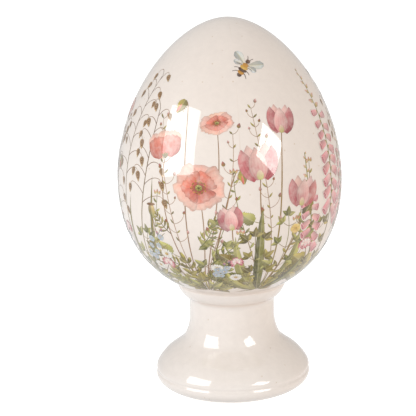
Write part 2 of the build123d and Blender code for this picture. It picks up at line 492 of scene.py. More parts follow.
paint = {
    "coralDeep": (203, 94, 78), "coral": (232, 144, 124), "coralPale": (246, 198, 180),
    "roseDeep": (168, 62, 84), "rose": (212, 122, 134), "rosePale": (238, 186, 184),
    "duskDeep": (172, 80, 88), "dusk": (212, 138, 138), "duskPale": (240, 200, 190),
    "mossDeep": (92, 78, 22), "moss": (138, 122, 46), "mossPale": (190, 174, 88),
    "sageDeep": (94, 96, 40), "sage": (144, 140, 68), "sagePale": (196, 190, 114),
    "barkDeep": (98, 66, 44), "bark": (146, 106, 74), "barkPale": (190, 152, 112),
    "strawDeep": (112, 76, 46), "straw": (160, 120, 76), "strawPale": (208, 176, 130),
    "skyDeep": (104, 116, 140), "sky": (150, 164, 180), "skyPale": (200, 208, 212),
    "butterDeep": (212, 170, 80), "butter": (238, 212, 138), "amber": (196, 140, 52), "umber": (84, 58, 42),
    "milk": (246, 241, 232), "milkPale": (250, 246, 240), "haze": (214, 206, 190),
}

rng = np.random.default_rng(7)
vary = rng.uniform
pen = {"matrix": np.eye(2), "at": np.zeros(2)}
spray = {}


def sway(reach):
    return rng.uniform(-reach, reach)


def sideOf(i):
    return -1 if i % 2 else 1


def place(x, y, turn=0.0, size=1.0, squash=1.0):
    # motifs are drawn upright about their own origin, then squashed, scaled, turned clockwise and moved here
    a = math.radians(turn)
    turned = np.array([[math.cos(a), math.sin(a)], [-math.sin(a), math.cos(a)]])
    pen["matrix"] = turned @ np.diag([size, size * squash])
    pen["at"] = np.array([x, y], float)


def heading(turn):
    return np.array([math.sin(math.radians(turn)), math.cos(math.radians(turn))])


def bent(x, y, turn, length, bend=0.0):
    # corners of a cubic that runs turn degrees from upright and swings by bend on its way
    start = np.array([x, y], float)
    end = start + length * heading(turn)
    leave, arrive = (length / 3 * heading(turn + way * bend / 2) for way in (-1, 1))
    return np.array([start, start + leave, end - arrive, end])


def sheet(kind, axis, wide, outline, root, tip, rank, cap=0.0, ruffle=0.0, turns=2.0, teeth=0, tooth=0.0,
          shade=0.1, vein=0, fan=0):
    # one painted sheet: axis, widest half width, outline, paints at root and tip, and its place in the stack
    tint = 1 + rng.normal(0, filmLook["toneDrift"]) + rng.normal(0, filmLook["hueDrift"], 3)
    spray[kind].append({
        "axis": np.asarray(axis, float), "wide": wide, "outline": outlines[outline], "cap": cap,
        "ruffle": ruffle, "turns": turns, "start": vary(), "teeth": teeth, "tooth": tooth,
        "shade": shade * rng.choice((-1, 1)), "lift": filmLook["lowest"] + filmLook["step"] * rank,
        "root": toLinear(paint[root]) * tint, "tip": toLinear(paint[tip]) * tint, "vein": vein,
        "fan": fan, **pen})


def small(x, y, turn, length, wide, outline, root, tip, rank, bend=0.0, **look):
    # a little plain sheet
    sheet("small", bent(x, y, turn, length, bend), wide, outline, root, tip, rank, **look)


def petal(x, y, turn, length, wide, outline, root, tip, rank, bend=0.0, **look):
    # a broad sheet with streaks
    sheet("broad", bent(x, y, turn, length, bend), wide, outline, root, tip, rank, vein=1, **look)


def hair(x, y, turn, length, wide, root, tip, rank, bend=0.0):
    # a thin line within a motif
    sheet("twig", bent(x, y, turn, length, bend), wide, "stalk", root, tip, rank)


def dot(x, y, size, root, tip, rank, tall=1.0):
    # a round spot about its middle
    small(x, y - size * tall, 0, 2 * size * tall, size, "round", root, tip, rank, shade=0.15)


def stalk(corners, wide, root, tip, rank=0, kind="stem"):
    # a stem in the spray's measures
    place(0, 0)
    sheet(kind, corners, wide, "stalk", root, tip, rank, shade=0.12, fan=1)


def greenPair(green, deepShare):
    # paints of root and tip: the deep pair as often as its share says, or else the pale one
    return (green + "Deep", green) if vary() < deepShare else (green, green + "Pale")


def leaf(x, y, turn, length, wide, green="moss", rank=12, bend=20.0, outline="lance", teeth=0, tooth=0.0):
    # drawn in the motif's own measures
    kind = "long" if length * np.linalg.norm(pen["matrix"][:, 1]) > filmLook["longLeaf"] else "small"
    paints = greenPair(green, 0.45)
    axis = bent(x, y, turn, length, bend)
    sheet(kind, axis, wide, outline, *paints, rank, teeth=teeth, tooth=tooth, shade=0.2, vein=2)


def blade(x, y, *leafSizes):
    # a leaf drawn in the spray's measures
    place(x, y)
    leaf(0, 0, *leafSizes)


def sprig(corners, count, reach, green="sage", rank=5, tip="rose"):
    # a thin stem with alternate leaflets that shorten upwards, and three buds at its end
    stalk(corners, 0.24, "bark", green, rank - 3)
    for i, t in enumerate(np.linspace(0.18, 0.93, count)):
        at, on = cubicAt(corners, t), cubicAt(corners, t + 0.04)
        along = math.degrees(math.atan2(on[0] - at[0], on[1] - at[1]))
        side = sideOf(i)
        size = reach * (1.1 - 0.6 * t) * vary(0.85, 1.15)
        blade(*at, along + side * vary(38, 58), size, size * 0.19, green, rank, -side * 26)
    for k in (-1, 0, 1):
        place(corners[3][0] + 1.1 * k, corners[3][1] - 0.5 * abs(k), 24 * k, reach * 0.42)
        small(0, 0, 0, 1.0, 0.30, "bud", green + "Pale", tip, 22 + 3 * k, shade=0.2)


def clover(x, y, turn, length, size=8.5):
    # a ball of narrow florets, darker and shorter towards its foot, above two trefoils
    corners = bent(x, y, turn, length, sway(20))
    stalk(corners, 0.30, "mossDeep", "bark", 1)
    place(*corners[3], turn * 0.5, size)
    rings = ((13, 0.62, 22, "roseDeep", "rose"), (11, 0.50, 28, "rose", "rosePale"),
             (8, 0.36, 34, "rosePale", "milk"))
    for ring, (count, reach, rank, root, tip) in enumerate(rings):
        for i in range(count):
            a = -125 + 250 * i / (count - 1) + sway(6)
            tall = reach * (1 - 0.15 * abs(a) / 125)
            small(0, 0.10 + 0.07 * ring, a, tall, 0.085, "spoon", root, tip, rank + i % 2,
                  a * 0.1, shade=0.16)
    for t in (0.30, 0.55):
        for a in (-70, 0, 70):
            blade(*cubicAt(corners, t), turn + a + (40 if t > 0.4 else -40), 5.2, 1.6, "moss", 9, 0, "spoon")


def daisy(x, y, turn, length, size=8.0):
    # two rings of narrow white rays round a domed yellow centre
    corners = bent(x, y, turn, length, sway(22))
    stalk(corners, 0.24, "moss", "sage", 1)
    place(*corners[3], vary(0, 20), size / 2, 0.86)
    for i in range(22):
        small(0, 0, 360 / 22 * i + sway(4), vary(0.88, 1.05), 0.13, "spoon", "haze", "milkPale",
              22 + 3 * (i % 2))
    dot(0, 0, 0.27, "amber", "butter", 32)
    for i in range(9):
        dot(*(0.17 * heading(40 * i)), 0.045, "strawDeep", "amber", 36)


def poppyOpen(x, y, size, turn=0.0, squash=0.9):
    # five ruffled outer petals, four inner ones, a green cap and a ring of stamens
    place(x, y, turn, size / 2, squash)
    for i in range(5):
        petal(0, 0, 144 * i + sway(9), vary(0.94, 1.06), 0.66, "fan", "coral", "coralPale", 22 + 3 * i,
              sway(14), cap=0.14, ruffle=0.05, turns=vary(1.1, 2.0), shade=0.16)
    for i in range(4):
        petal(0, 0, 45 + 90 * i + sway(12), vary(0.60, 0.70), 0.46, "fan", "coralDeep", "coral", 38 + 2 * i,
              sway(18), cap=0.10, ruffle=0.05, turns=vary(1.2, 2.0), shade=0.2)
    for i in range(6):
        small(0, 0, 60 * i + 20, 0.27, 0.10, "spoon", "umber", "coralDeep", 47)
    for i in range(20):
        at = vary(0.19, 0.31) * heading(18 * i + sway(6))
        dot(*at, 0.034, "umber" if i % 3 else "amber", "amber", 50)
    dot(0, 0, 0.13, "moss", "sagePale", 53)
    for i in range(6):
        hair(0, 0, 60 * i, 0.12, 0.016, "mossDeep", "moss", 56)


def poppyCup(x, y, size, turn=0.0):
    # a half-open bloom from the side: three petals behind, two in front
    place(x, y, turn, size)
    for i, a in enumerate((-30, 28, 0)):
        petal(0.10 * a / 30, 0.02, a * 0.8, 0.96, 0.36, "cup", "coral", "coralPale", 22 + 3 * i,
              -a * 0.5, cap=0.10, ruffle=0.035, turns=1.6, shade=0.18)
    for i, a in enumerate((-17, 15)):
        petal(0.16 * a / 17, 0.0, a, 0.80, 0.40, "cup", "coralDeep", "coral", 34 + 5 * i,
              -a * 0.8, cap=0.10, ruffle=0.04, turns=1.4, shade=0.2)
    for a in (-40, 0, 40):
        small(0, -0.05, a, 0.22, 0.06, "lance", "mossDeep", "moss", 45, a, vein=2)


def poppyBud(x, y, size, turn):
    # a hairy green case that has split to show the folded petals
    place(x, y, turn, size)
    small(0, 0, 0, 1.0, 0.34, "bud", "moss", "mossPale", 24, shade=0.22, vein=2)
    small(0.06, 0.34, 4, 0.66, 0.10, "lance", "coral", "coralDeep", 30, 10)
    for i in range(8):
        side = -sideOf(i)
        hair(side * 0.26, 0.18 + 0.08 * i, side * 70, 0.16, 0.014, "moss", "mossPale", 20)


def lobedLeaf(x, y, turn, length, green="moss", rank=10):
    # a rib with pairs of narrow forked lobes that shorten towards the tip
    place(x, y, turn, length)
    swing = sway(0.12)
    rib = [(0, 0), (swing, 0.3), (swing, 0.6), (0, 0.95)]
    sheet("stem", rib, 0.016, "stalk", green + "Deep", green, rank + 4)
    for i, s in enumerate(np.linspace(0.22, 0.82, 5)):
        at = 3 * swing * s * (1 - s)
        for side in (-1, 1):
            reach = (0.44 - 0.28 * s) * vary(0.85, 1.12)
            a = side * (64 - 24 * s) + sway(6)
            leaf(at, s - 0.03, a, reach, 0.042, green, rank + i % 3, -side * 28)
            fork = at + side * reach * 0.45
            leaf(fork, s + 0.03, a - side * 40, reach * 0.46, 0.027, green, rank + 3, -side * 20)
    leaf(0, 0.84, sway(8), 0.24, 0.05, green, rank + 3)


def toothed(x, y, turn, length, green="moss", rank=12, bend=14.0, share=0.29):
    # one oval leaf with a saw edge, its half width a share of its length
    place(x, y)
    paints = greenPair(green, 0.5)
    axis = bent(0, 0, turn, length, bend)
    sheet("long", axis, length * share, "heart", *paints, rank, teeth=9, tooth=0.13, shade=0.24, vein=2)


def stalkedLeaves(plan):
    # broad leaves, each on a short stalk of its own: x, y, turn, length and green
    for x, y, turn, length, green in plan:
        corners = bent(x, y, turn - 12, length * 0.55, 24)
        stalk(corners, 0.26, "bark", green, 3, "twig")
        toothed(*corners[3], turn + sway(6), length, green, int(rng.integers(7, 14)), sway(26), 0.37)


def trefoil(x, y, turn, size, green="moss", rank=12):
    # two toothed leaflets to the sides and a larger one between them
    for a, share in ((-66, 0.88), (66, 0.88), (0, 1.0)):
        toothed(x, y, turn + a + sway(7), size * share, green, rank + (3 if a == 0 else 0), a * 0.2)


def leafBranch(corners, pairs, size, green="moss", rank=8):
    # a stem with trefoils on twigs to either side, smaller upwards, and one at its end
    stalk(corners, 0.26, "bark", green, 2)
    trefoil(*corners[3], sway(14), size * 0.8, green, rank + 6)
    for i, t in enumerate(np.linspace(0.38, 0.88, pairs)):
        for side in (-1, 1):
            a = side * vary(48, 66)
            twig = bent(*cubicAt(corners, t), a, size * vary(0.7, 1.1), -side * 24)
            stalk(twig, 0.18, "bark", green, 3, "twig")
            trefoil(*twig[3], a * 0.85, size * (1.08 - 0.3 * t) * vary(0.85, 1.1), green, rank + 2 * (i % 3))


def budBranch(corners, count, tone="roseDeep"):
    # a thin reddish stem with twigs to either side, each ending in a small round bud
    stalk(corners, 0.21, "bark", "barkPale", 1)
    for i, t in enumerate(np.linspace(0.40, 1.0, count)):
        at, side = cubicAt(corners, t), sideOf(i)
        reach = vary(4, 8) * (1.3 - 0.7 * t)
        end = at + (side * reach * 0.8, reach)
        twig = [at, at + (side * reach * 0.5, reach * 0.1), end - (0, reach * 0.4), end]
        stalk(twig, 0.15, "bark", "barkPale", 2, "twig")
        place(*end, side * 16, vary(1.5, 2.6))
        paints = ("moss", tone) if i % 3 else ("bark", "rosePale")
        small(0, -0.2, 0, 1.2, 0.46, "bud", *paints, 22, shade=0.28)
        blade(*at, -side * vary(30, 55), vary(2.5, 4.5), 0.55, "moss", 8, side * 20)


def rosette(count, reach, size, greens=("moss", "sage")):
    # trefoils on arching stalks that fan out of the ground, the outer ones lower
    for i in range(count):
        lean = -64 + 128 * i / (count - 1) + sway(6)
        tall = reach * (1.1 - 0.5 * abs(lean) / 64) * vary(0.8, 1.2)
        corners = bent(lean / 24, 1.0, lean, tall, lean * 0.5)
        stalk(corners, 0.24, "barkDeep", greens[i % 2], 3, "twig")
        trefoil(*corners[3], lean * 1.15, size * vary(0.85, 1.15), greens[i % 2], 8 + 2 * (i % 4))


def foxgloveBell(x, y, size, turn, rank):
    # a tube that widens to a rounded lip, with a dark spotted throat
    place(x, y, turn, size)
    petal(0, 0, 0, 0.98, 0.33, "bell", "rosePale", "rose", rank, sway(14), cap=0.10, shade=0.3)
    small(0, 0.76, 0, 0.32, 0.38, "round", "rosePale", "milk", rank + 3)
    small(0, 0.81, 0, 0.21, 0.27, "round", "roseDeep", "rose", rank + 6)
    for i in range(3):
        dot(-0.10 + 0.10 * i, 0.90 + 0.03 * (i % 2), 0.03, "milk", "roseDeep", rank + 9)
    for a in (-35, 35):
        small(0, -0.06, a, 0.20, 0.055, "lance", "moss", "mossPale", rank + 4, a)


def foxgloveSpire(corners, bells, size):
    # bells up the higher part of a stem, largest below, then buds to the tip
    stalk(corners, 0.40, "barkDeep", "sage", 1)
    for i in range(bells + 9):
        x, y = cubicAt(corners, 0.42 + 0.57 * (i / (bells + 8)) ** 0.9)
        side = sideOf(i)
        if i < bells:
            share = i / bells
            bellSize = size * (1.0 - 0.42 * share) * vary(0.93, 1.06)
            foxgloveBell(x + side * 0.6, y, bellSize, side * (134 - 40 * share + sway(9)), 18 + 2 * (i % 6))
        else:
            late = i - bells
            place(x + side * 0.4, y, side * (72 - 6 * late), size * (0.46 - 0.036 * late))
            small(0, 0, 0, 1.0, 0.27, "bud", "mossPale", "rosePale", 20, side * 20, shade=0.2)


def tulip(x, y, size, turn, opened=1.0):
    # two petals behind, one on each side and one in front
    place(x, y, turn, size)
    for i, a in enumerate((-9, 10)):
        petal(0.10 * a / 9, 0.03, a * opened, 0.98, 0.25, "tulip", "dusk", "duskPale", 22 + 3 * i,
              -a, shade=0.14)
    for i, a in enumerate((-20, 21)):
        petal(0.12 * a / 20, 0.0, a * opened, 0.95, 0.23, "tulip", "duskDeep", "dusk", 30 + 3 * i,
              -a * 1.7, shade=0.2)
    petal(0, -0.01, sway(4), 0.90, 0.27, "tulip", "dusk", "duskPale", 40, shade=0.2)
    small(0, -0.02, 0, 0.30, 0.11, "tulip", "sagePale", "duskPale", 43)


def fern(x, y, turn, length, bend, green="sage", rank=6):
    # pairs of leaflets along an arching rib, longest a third of the way up
    rib = bent(x, y, turn, length, bend)
    stalk(rib, 0.34, green + "Deep", green, rank + 3)
    for t in np.linspace(0.10, 0.97, 19):
        reach = length * 0.20 * (0.35 + 2.6 * t * (1 - t) ** 1.3)
        for side in (-1, 1):
            a = turn + bend * (t - 0.5) + side * (62 - 16 * t) + sway(5)
            blade(*cubicAt(rib, t), a, reach, reach * 0.17 + 0.25, green, rank, -side * 24)


def quakeGrass(corners, heads, size):
    # hair-thin branches from the upper stem, each with a hanging scaly head
    stalk(corners, 0.34, "moss", "strawDeep", 0)
    for i in range(heads):
        t = 0.50 + 0.50 * i / (heads - 1)
        at, side = cubicAt(corners, t), sideOf(i)
        reach = (5 + 11 * (1 - t)) * vary(0.8, 1.2) + 3
        hang = at + (side * reach, vary(-1, 5))
        branch = [at, at + (side * reach * 0.35, 6), hang + (-side * 1.0, 4.5), hang]
        stalk(branch, 0.20, "strawDeep", "straw", 3, "twig")
        place(hang[0], hang[1] + 0.4, 180 - side * vary(4, 30), size * (1.08 - 0.4 * t))
        small(0, 0, 0, 1.0, 0.33, "heart", "straw", "strawPale", 24, shade=0.16, vein=2)
        for k in range(3):
            for way in (-1, 1):
                small(0, 0.10 + 0.22 * k, way * 34, 0.36 - 0.06 * k, 0.085, "lance", "strawDeep", "straw",
                      28 + 2 * k, -way * 26)


def floret(x, y, size, rank):
    # five round petals, a pale ring and a dark eye
    place(x, y, vary(0, 72), size / 2, vary(0.78, 1.0))
    for i in range(5):
        small(0, 0, 72 * i, 1.0, 0.50, "spoon", "sky", "skyPale", rank + 2 * (i % 3), shade=0.12)
    dot(0, 0, 0.24, "milk", "butter", rank + 9)
    dot(0, 0, 0.13, "amber", "strawDeep", rank + 12)


def forgetMeNots(x, y, turn, length, count, size=5.6):
    # a curling stem with florets near its end, buds at the tip and two pairs of leaves
    corners = bent(x, y, turn, length, turn * 0.6 + sway(12))
    stalk(corners, 0.26, "bark", "sage", 1)
    for i, t in enumerate(np.linspace(0.55, 1.0, count)):
        (x, y), side = cubicAt(corners, t), sideOf(i)
        if i < count - 2:
            floret(x + side * vary(1.2, 3.2), y + vary(-1, 1.5), size * vary(0.85, 1.1), 24 + 3 * (i % 4))
        else:
            place(x + side * 0.8, y + 0.6)
            dot(0, 0, 0.9, "skyDeep", "dusk", 26, 1.3)
    for t in (0.2, 0.42):
        for side in (-1, 1):
            blade(*cubicAt(corners, t), turn + side * vary(35, 60), vary(9, 14), 1.7, "moss", 10, -side * 20)


def buttercup(x, y, turn, length):
    # five cupped yellow petals round a green eye
    corners = bent(x, y, turn, length, sway(25))
    stalk(corners, 0.26, "bark", "moss", 1)
    place(*corners[3], turn * 0.4, 4.0, 0.8)
    for i in range(5):
        small(0, 0, 72 * i + 36, 1.0, 0.56, "spoon", "butterDeep", "butter", 24 + 2 * (i % 3),
              cap=0.1, shade=0.14)
    dot(0, 0, 0.22, "mossPale", "amber", 34)


def tuft(count, tall, greens=("moss", "sage")):
    # blades that fan out of one root, and a few that lie along the ground
    for i in range(count):
        lean = vary(-1, 1)
        blade(4.5 * lean, vary(0, 2.5), 50 * lean + sway(8), tall * (1.1 - 0.4 * abs(lean)) * vary(0.6, 1.15),
              vary(0.45, 1.1), greens[i % 2], 6 + i % 9, 30 * lean + sway(14))
    for i in range(8):
        side = sideOf(i)
        blade(side * vary(1, 4), vary(0, 1.5), side * vary(72, 104), vary(6, 12), vary(0.35, 0.6),
              "bark" if i % 3 else greens[0], 5, side * vary(-34, 6))


# The sprays, each drawn from its stems and broad leaves to the small growth at its foot

def poppySpray():
    for corners in ([(0, 2), (4, 30), (9, 52), (4, 84)], [(-2, 2), (-8, 36), (-20, 70), (-16, 105)],
                    [(1, 2), (9, 45), (18, 84), (13, 125)], [(-1, 2), (-5, 60), (-2, 148), (-9, 140)],
                    [(2, 2), (14, 40), (21, 108), (26, 96)], [(-3, 2), (-14, 24), (-23, 40), (-24, 64)]):
        stalk(corners, 0.32, "bark", "straw", int(rng.integers(0, 3)))
    stalkedLeaves(((-5, 6, -58, 15, "moss"), (6, 6, 54, 17, "sage"), (5, 30, 58, 12, "moss"),
                   (-9, 36, -52, 12, "sage")))
    for x, y, turn, length in ((-3, 3, -44, 26), (-1, 6, -14, 32), (3, 5, 30, 31), (1, 3, 56, 22),
                               (-9, 28, -62, 21), (8, 32, 48, 24), (3, 46, 32, 19), (-13, 54, -40, 17),
                               (7, 58, 54, 16)):
        lobedLeaf(x, y, turn, length, "moss" if vary() < 0.6 else "sage", int(rng.integers(6, 12)))
    poppyOpen(4, 86, 32, 8, 0.92)
    poppyCup(-16, 104, 17, -14)
    poppyOpen(13, 127, 21, -12, 0.66)
    poppyBud(-9, 141.5, 9.5, 205)
    poppyBud(26, 97, 8.5, 168)
    place(-24, 64, -6, 7.5)  # a seed head and its lid
    small(0, 0, 0, 1.0, 0.36, "cup", "sage", "strawPale", 22, shade=0.2, vein=2)
    small(-0.46, 1.04, 90, 0.92, 0.12, "round", "strawDeep", "straw", 28)
    sprig([(4, 3), (14, 20), (20, 36), (25, 56)], 11, 7.0, "sage")
    budBranch([(-1, 2), (-6, 40), (-14, 80), (-22, 128)], 13)
    budBranch([(2, 2), (6, 40), (24, 70), (22, 120)], 11, "duskDeep")
    leafBranch([(2, 2), (9, 26), (11, 46), (19, 66)], 3, 7.4, "sage")
    leafBranch([(-3, 2), (-9, 18), (-20, 26), (-27, 44)], 2, 6.8, "moss")
    rosette(5, 12, 8.5)
    forgetMeNots(3, 4, 26, 34, 7, 4.8)
    daisy(-4, 3, -24, 38, 9.0)
    daisy(5, 3, 14, 27, 8.0)
    tuft(13, 17)


def tulipSpray():
    for corners, size, turn, opened in (([(-1, 2), (-2, 40), (-8, 62), (-6, 92)], 21, -5, 1.0),
                                        ([(2, 2), (7, 34), (17, 52), (17, 72)], 18, 10, 1.2),
                                        ([(-2, 2), (-10, 24), (-22, 38), (-21, 60)], 15, -10, 0.6),
                                        ([(1, 2), (5, 60), (4, 90), (9, 120)], 17, 8, 0.8)):
        stalk(corners, 0.42, "moss", "straw", 2)
        tulip(corners[3][0], corners[3][1] - 1, size, turn, opened)
    for x, turn, length, wide, bend in ((-2, -22, 54, 3.2, 34), (2, 19, 60, 3.4, -30), (0, -5, 70, 3.0, 22),
                                        (3, 38, 38, 2.8, -40), (-3, -42, 34, 2.6, 44)):
        blade(x, 1, turn, length, wide, "sage", int(rng.integers(6, 14)), bend, "strap")
    stalkedLeaves(((-5, 6, -62, 16, "moss"), (7, 6, 60, 18, "moss"), (12, 40, 62, 14, "sage"),
                   (-13, 30, -56, 13, "moss"), (-4, 62, -60, 11, "sage"), (16, 58, 40, 12, "moss")))
    fern(3, 3, 40, 30, 34, "moss", 4)
    fern(-3, 3, -46, 26, -38, "moss", 4)
    sprig([(1, 3), (8, 40), (22, 60), (24, 98)], 13, 6.5, "moss", 5, "dusk")
    sprig([(-2, 3), (-8, 40), (-20, 64), (-20, 96)], 13, 6.0, "sage", 5, "rose")
    budBranch([(1, 2), (2, 50), (-4, 96), (-8, 136)], 13, "duskDeep")
    leafBranch([(-1, 2), (-5, 20), (-9, 36), (-9, 54)], 3, 7.6, "moss")
    leafBranch([(2, 2), (7, 26), (12, 44), (9, 66)], 3, 7.2, "sage")
    clover(4, 3, 26, 42, 9.0)
    clover(-4, 3, -26, 33, 8.0)
    buttercup(3, 3, 12, 54)
    daisy(-5, 3, -40, 22, 8.0)
    tuft(11, 16, ("sage", "moss"))


def foxgloveSpray():
    for x, turn, length, wide in ((-3, -48, 24, 3.4), (-1, -18, 36, 4.4), (2, 21, 34, 4.4), (3, 50, 23, 3.4),
                                  (0, 3, 30, 4.0)):
        blade(x, 1, turn, length, wide, "moss", int(rng.integers(6, 12)), turn * 0.4, "lance", 11, 0.10)
    foxgloveSpire([(0, 2), (-4, 50), (5, 104), (1, 158)], 18, 11.5)
    foxgloveSpire([(2, 2), (11, 40), (20, 84), (19, 126)], 14, 10.2)
    foxgloveSpire([(-2, 2), (-12, 34), (-22, 66), (-20, 104)], 12, 9.8)
    stalkedLeaves(((-8, 24, -56, 14, "moss"), (9, 26, 58, 14, "sage"), (6, 44, 50, 11, "moss")))
    fern(-3, 3, -40, 30, -30, "sage", 4)
    fern(3, 3, 42, 28, 34, "sage", 4)
    sprig([(-1, 3), (-10, 20), (-16, 40), (-28, 62)], 11, 6.5, "moss")
    leafBranch([(-2, 2), (-8, 22), (-12, 40), (-10, 56)], 3, 7.2, "moss")
    forgetMeNots(3, 3, 30, 36, 7, 4.8)
    clover(-3, 3, -20, 40, 8.5)
    buttercup(2, 3, 20, 46)
    tuft(12, 17)


def grassSpray():
    quakeGrass([(-1, 2), (-6, 60), (-4, 120), (5, 156)], 14, 7.6)
    quakeGrass([(1, 2), (9, 50), (19, 96), (17, 134)], 12, 7.0)
    quakeGrass([(-3, 2), (-14, 44), (-23, 82), (-20, 116)], 11, 6.8)
    for x, turn, length, bend in ((-2, -16, 80, 40), (2, 14, 88, -34), (-2, -30, 54, -50), (2, 30, 58, 52),
                                  (0, 2, 70, 20)):
        blade(x, 1, turn, length, 1.2, "moss", int(rng.integers(5, 9)), bend, "strap")
    for x, turn, length, count in ((-2, -20, 62, 9), (3, 22, 56, 9), (-3, -42, 36, 7)):
        forgetMeNots(x, 3, turn, length, count, 4.8)
    sprig([(3, 3), (12, 30), (22, 50), (24, 80)], 12, 6.5, "sage")
    clover(3, 3, 38, 32, 9.0)
    clover(-1, 3, -8, 46, 8.0)
    daisy(4, 3, 24, 25, 8.5)
    leafBranch([(2, 2), (6, 20), (8, 36), (14, 52)], 3, 7.0, "sage")
    rosette(4, 13, 8.0, ("sage", "moss"))
    tuft(16, 22)


def beeSpray():
    # striped body, two pairs of clear wings, legs and feelers
    place(0, 164, 38, 12.5)
    for a, reach, wide in ((-58, 0.86, 0.23), (54, 0.90, 0.24), (-98, 0.56, 0.16), (96, 0.56, 0.16)):
        small(math.copysign(0.05, a), 0.18, a, reach, wide, "spoon", "haze", "skyPale", 20, a * 0.12, vein=2)
    stripes = ((-0.46, "umber"), (-0.30, "amber"), (-0.14, "umber"), (0.02, "butterDeep"), (0.18, "amber"))
    for i, (at, tone) in enumerate(stripes):
        reach = 0.235 - 0.05 * abs(i - 2.4)
        small(-reach, at, 90, 2 * reach, 0.115, "round", tone, tone, 30 + 3 * i, shade=0.2)
    dot(0, 0.42, 0.115, "umber", "strawDeep", 46)
    for side in (-1, 1):
        hair(side * 0.05, 0.50, side * 28, 0.24, 0.016, "umber", "umber", 24, side * 30)
        for k in range(3):
            turn = side * (100 + 16 * k)
            hair(side * 0.18, 0.10 - 0.2 * k, turn, 0.26, 0.016, "umber", "umber", 22, side * 30)


# Laying the sprays: the egg's outline from the rim up, with its length and the way that its skin faces

meridian = fromRadius(eggRow(eggShape["filmRoom"], 400), standShape["rim"])
reachUp = np.r_[0, np.cumsum(np.linalg.norm(np.diff(meridian, axis=0), axis=1))]
climb = np.gradient(meridian, axis=0)
skinFacing = np.c_[climb[:, 1], -climb[:, 0]] / np.linalg.norm(climb, axis=1)[:, None]


def throughSeven(values, t):
    # smooth curve through seven even values per sheet, read at t between 0 and 1
    # each stretch is a cubic, and its slope at a value is half the step between that value's neighbours
    padded = np.pad(values, ((0, 0), (1, 1)), mode="edge")
    i = np.clip((6 * t).astype(int), 0, 5)
    f = 6 * t - i
    p, q, r, s = (padded[np.arange(len(values))[:, None, None], i + k] for k in range(4))
    return q + 0.5 * f * (r - p + f * (2 * p - 5 * q + 4 * r - s + f * (3 * (q - r) + s - p)))


def gridQuads(along, across):
    row, col = np.arange(along - 1)[:, None] * across, np.arange(across - 1)[None, :]
    corners = [row + col, row + col + 1, row + across + col + 1, row + across + col]
    return np.stack(corners, axis=-1).reshape(-1, 4)


def sheetArrays(rows, kind, angle, side):
    # every sheet of one kind at once: point(u, v) = axis(u) + v * halfWidth(u) to its right, then round the
    # egg by x over the radius there, up it by y, and off its skin by the sheet's height
    along, across = sheetGrids[kind]
    u, v = np.linspace(0, 1, along), np.linspace(-1, 1, across)
    column = {key: np.array([row[key] for row in rows], float) for key in rows[0]}
    each = {key: values[:, None, None] for key, values in column.items() if values.ndim == 1}
    # sheets end in a dome: lines near the sides stop short by cap, and all of them by the ruffle
    wave = np.sin(2 * np.pi * (each["turns"] * v + each["start"])) - 1
    t = u[:, None] * (1 - each["cap"] * v**2 + each["ruffle"] * wave)
    s = t[..., None]
    corners = np.moveaxis(column["axis"], 1, 0)[:, :, None, None]
    a, b, c, d = corners
    ahead = (1 - s) ** 2 * (b - a) + 2 * s * (1 - s) * (c - b) + s * s * (d - c)
    ahead = ahead / np.linalg.norm(ahead, axis=-1, keepdims=True)
    aside = np.stack([ahead[..., 1], -ahead[..., 0]], axis=-1)
    half = np.maximum(throughSeven(column["outline"], t), filmLook["leastWidth"]) * each["wide"]
    half = half * (1 + each["tooth"] * (1 - 2 * ((each["teeth"] * t) % 1)))
    flat = cubicAt(corners, s) + aside * (half * v)[..., None]
    flat = np.einsum("nij,nabj->nabi", column["matrix"], flat)
    # stems spread as an even fan and shrink to the room on the egg; blooms and leaves keep their size
    fan, wide = each["fan"], filmLook["fanRadius"]
    lower, room = filmLook["ground"], 1 - filmLook["ground"] / filmLook["top"]
    up = lower + room * column["at"][:, 1, None, None] + flat[..., 1] * np.where(fan > 0, room, 1)
    radius, height = (np.interp(up, reachUp, meridian[:, k]) for k in (0, 1))
    outward, upward = (np.interp(up, reachUp, skinFacing[:, k]) for k in (0, 1))
    swing = column["at"][:, 0, None, None] / wide + flat[..., 0] * (fan / wide + (1 - fan) / radius)
    turn = math.radians(angle) + side * swing
    radius, height = radius + each["lift"] * outward, height + each["lift"] * upward
    points = np.stack([radius * np.sin(turn), -radius * np.cos(turn), height], axis=-1)
    normals = np.stack([outward * np.sin(turn), -outward * np.cos(turn), upward], axis=-1)
    root, tip = column["root"][:, None, None], column["tip"][:, None, None]
    tones = (root + (tip - root) * u[:, None, None]) * (1 + (each["shade"] * v)[..., None])
    marks = np.stack(np.broadcast_arrays(u[:, None], v, each["vein"]), axis=-1)
    size = np.abs(np.linalg.det(column["matrix"])) ** 0.5
    length = np.linalg.norm(column["axis"][:, 3] - column["axis"][:, 0], axis=1)
    spans = np.c_[2 * column["wide"] * size, length * size]
    return points, normals, np.broadcast_to(tones, points.shape), marks, spans


bakePacking = {"leastSpan": 0.6, "gap": 0.0015, "inset": 0.0006, "shrink": 0.96}  # mm, shares of the map


def packShelves(spans):
    # rectangles side by side on shelves, tallest first, at the largest scale that fits the unit square
    spans = np.maximum(spans, bakePacking["leastSpan"])
    inset = bakePacking["inset"]
    order = np.argsort(-spans[:, 1], kind="stable")
    scale = 1.0 / np.sqrt(spans.prod(axis=1).sum())
    while True:
        places, x, y, shelf = np.zeros((len(spans), 4)), 0.0, 0.0, 0.0
        for i in order:
            w, h = spans[i] * scale + bakePacking["gap"]
            if x + w > 1:
                x, y, shelf = 0.0, y + shelf, 0.0
            shelf = max(shelf, h)
            places[i] = x + inset, y + inset, w - 2 * inset, h - 2 * inset
            x += w
        if y + shelf <= 1:
            return places
        scale *= bakePacking["shrink"]


